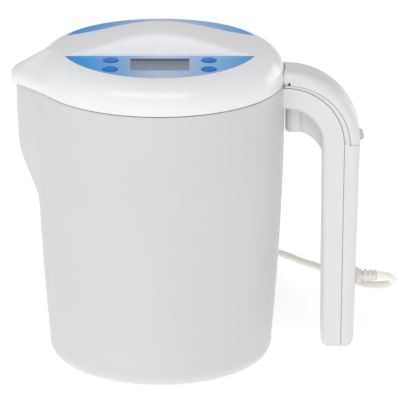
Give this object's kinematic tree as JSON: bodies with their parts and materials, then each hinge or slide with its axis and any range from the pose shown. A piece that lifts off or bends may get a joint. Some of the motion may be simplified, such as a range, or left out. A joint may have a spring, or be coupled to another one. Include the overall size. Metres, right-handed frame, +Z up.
{
  "type": "yogurt maker",
  "caption": "Round frosted pouring jug with a spout, a handle and a lift-off domed lid holding a display, push buttons and an immersed heating rod.",
  "frame": {"origin": "centre of the jug's flat base, on the surface it stands on", "axes": "+Z up along the jug's axis, -X towards the spout, +X towards the handle, -Y towards the control panel"},
  "size_m": [0.2568, 0.3052, 0.227],
  "materials": {
    "frosted_jug": "frosted translucent polypropylene",
    "white_gloss": "glossy white moulding",
    "handle_white": "satin white moulding",
    "panel_blue": "smooth printed film, light blue",
    "button_blue": "smooth darker blue",
    "lamp_blue": "dark blue lens",
    "window_clear": "clear acrylic",
    "display_grey": "grey liquid crystal",
    "board_green": "printed circuit board",
    "dark_part": "black electronic part",
    "coil_copper": "taped transformer winding",
    "steel": "brushed stainless steel",
    "seal_silicone": "translucent silicone",
    "cord_cream": "cream flexible jacket",
    "relief_cream": "cream moulded sleeve",
    "tie_black": "black twist tie",
    "pin_metal": "bright plated brass"
  },
  "bodies": {
    "jug_body": {"jug": "frosted_jug", "contact_socket": "dark_part", "handle_inner_shell": "handle_white", "handle_outer_shell": "handle_white", "handle_bracket": "handle_white", "handle_screws": "steel", "handle_wiring": "dark_part", "cord_strain_relief": "relief_cream", "power_cord": "cord_cream", "cord_coil": "cord_cream", "cord_tail": "cord_cream", "cord_tie": "tie_black", "plug_body": "cord_cream", "plug_pins": "pin_metal"},
    "lid_body": {"lid_shell": "white_gloss", "grip_bridge": "white_gloss", "lid_tail_cover": "handle_white", "front_panel": "panel_blue", "rear_panel": "panel_blue", "indicator_lamp": "lamp_blue", "display_window": "window_clear", "display_module": "display_grey", "control_board": "board_green", "tact_switches": "dark_part", "power_board": "board_green", "transformer": "coil_copper", "capacitors": "dark_part", "buzzer": "dark_part", "lid_base_plate": "white_gloss", "lid_seal": "seal_silicone", "lid_screws": "steel", "heating_rod": "steel", "temperature_probe": "steel", "rod_gaskets": "seal_silicone", "rod_nuts": "steel", "contact_plug": "dark_part"},
    "button_1_body": {"button_1": "button_blue"},
    "button_2_body": {"button_2": "button_blue"},
    "button_3_body": {"button_3": "button_blue"},
    "button_4_body": {"button_4": "button_blue"}
  },
  "joints": [
    {"name": "lid_lift", "type": "slide", "parent": "jug_body", "child": "lid_body", "axis": [0, 0, 1], "range_m": [0, 0.135]},
    {"name": "button_1_press", "type": "slide", "parent": "lid_body", "child": "button_1_body", "axis": [0, 0.0366, -0.9993], "range_m": [0, 0.0008], "stiffness_N_per_m": 800, "springref_m": -0.0006},
    {"name": "button_2_press", "type": "slide", "parent": "lid_body", "child": "button_2_body", "axis": [0, 0.0366, -0.9993], "range_m": [0, 0.0008], "stiffness_N_per_m": 800, "springref_m": -0.0006},
    {"name": "button_3_press", "type": "slide", "parent": "lid_body", "child": "button_3_body", "axis": [0, 0.0366, -0.9993], "range_m": [0, 0.0008], "stiffness_N_per_m": 800, "springref_m": -0.0006},
    {"name": "button_4_press", "type": "slide", "parent": "lid_body", "child": "button_4_body", "axis": [0, 0.0366, -0.9993], "range_m": [0, 0.0008], "stiffness_N_per_m": 800, "springref_m": -0.0006}
  ]
}
